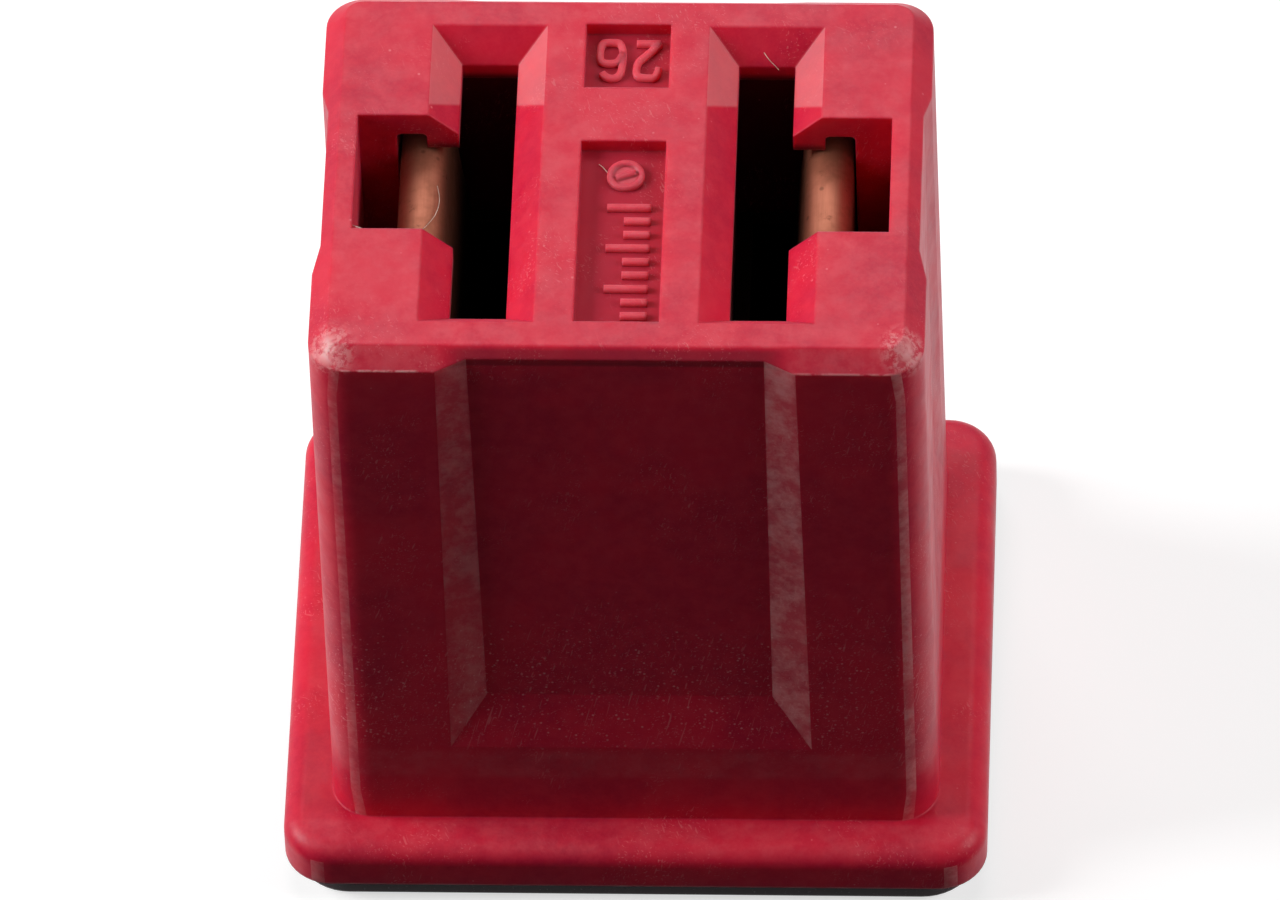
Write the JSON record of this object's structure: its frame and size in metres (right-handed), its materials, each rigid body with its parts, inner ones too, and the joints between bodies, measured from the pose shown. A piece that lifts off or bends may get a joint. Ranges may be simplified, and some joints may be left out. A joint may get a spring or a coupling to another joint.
{
  "type": "automotive cartridge fuse",
  "caption": "Low-profile cartridge fuse: moulded housing with a collar, female blade terminals in slotted mouths and a clear clip-in cover.",
  "frame": {"origin": "middle of the clear cover's flat outer face, on which the fuse stands with its terminal mouths up", "axes": "+Z from the cover towards the terminal mouths, X along the long side from terminal to terminal, -Y to the front; the fuse is the same from front and back apart from its rib pockets"},
  "size_m": [0.0152, 0.0124, 0.0169],
  "materials": {
    "housing_nylon": "satin red moulded nylon with fine scuffs",
    "cover_clear": "clear moulded polycarbonate",
    "element_copper_alloy": "rolled copper alloy strip, lightly tarnished",
    "pellet_tin": "dull pressed tin"
  },
  "bodies": {
    "root": {"housing": "housing_nylon", "cover": "cover_clear", "fuse_element": "element_copper_alloy", "tin_pellet": "pellet_tin"}
  },
  "joints": []
}
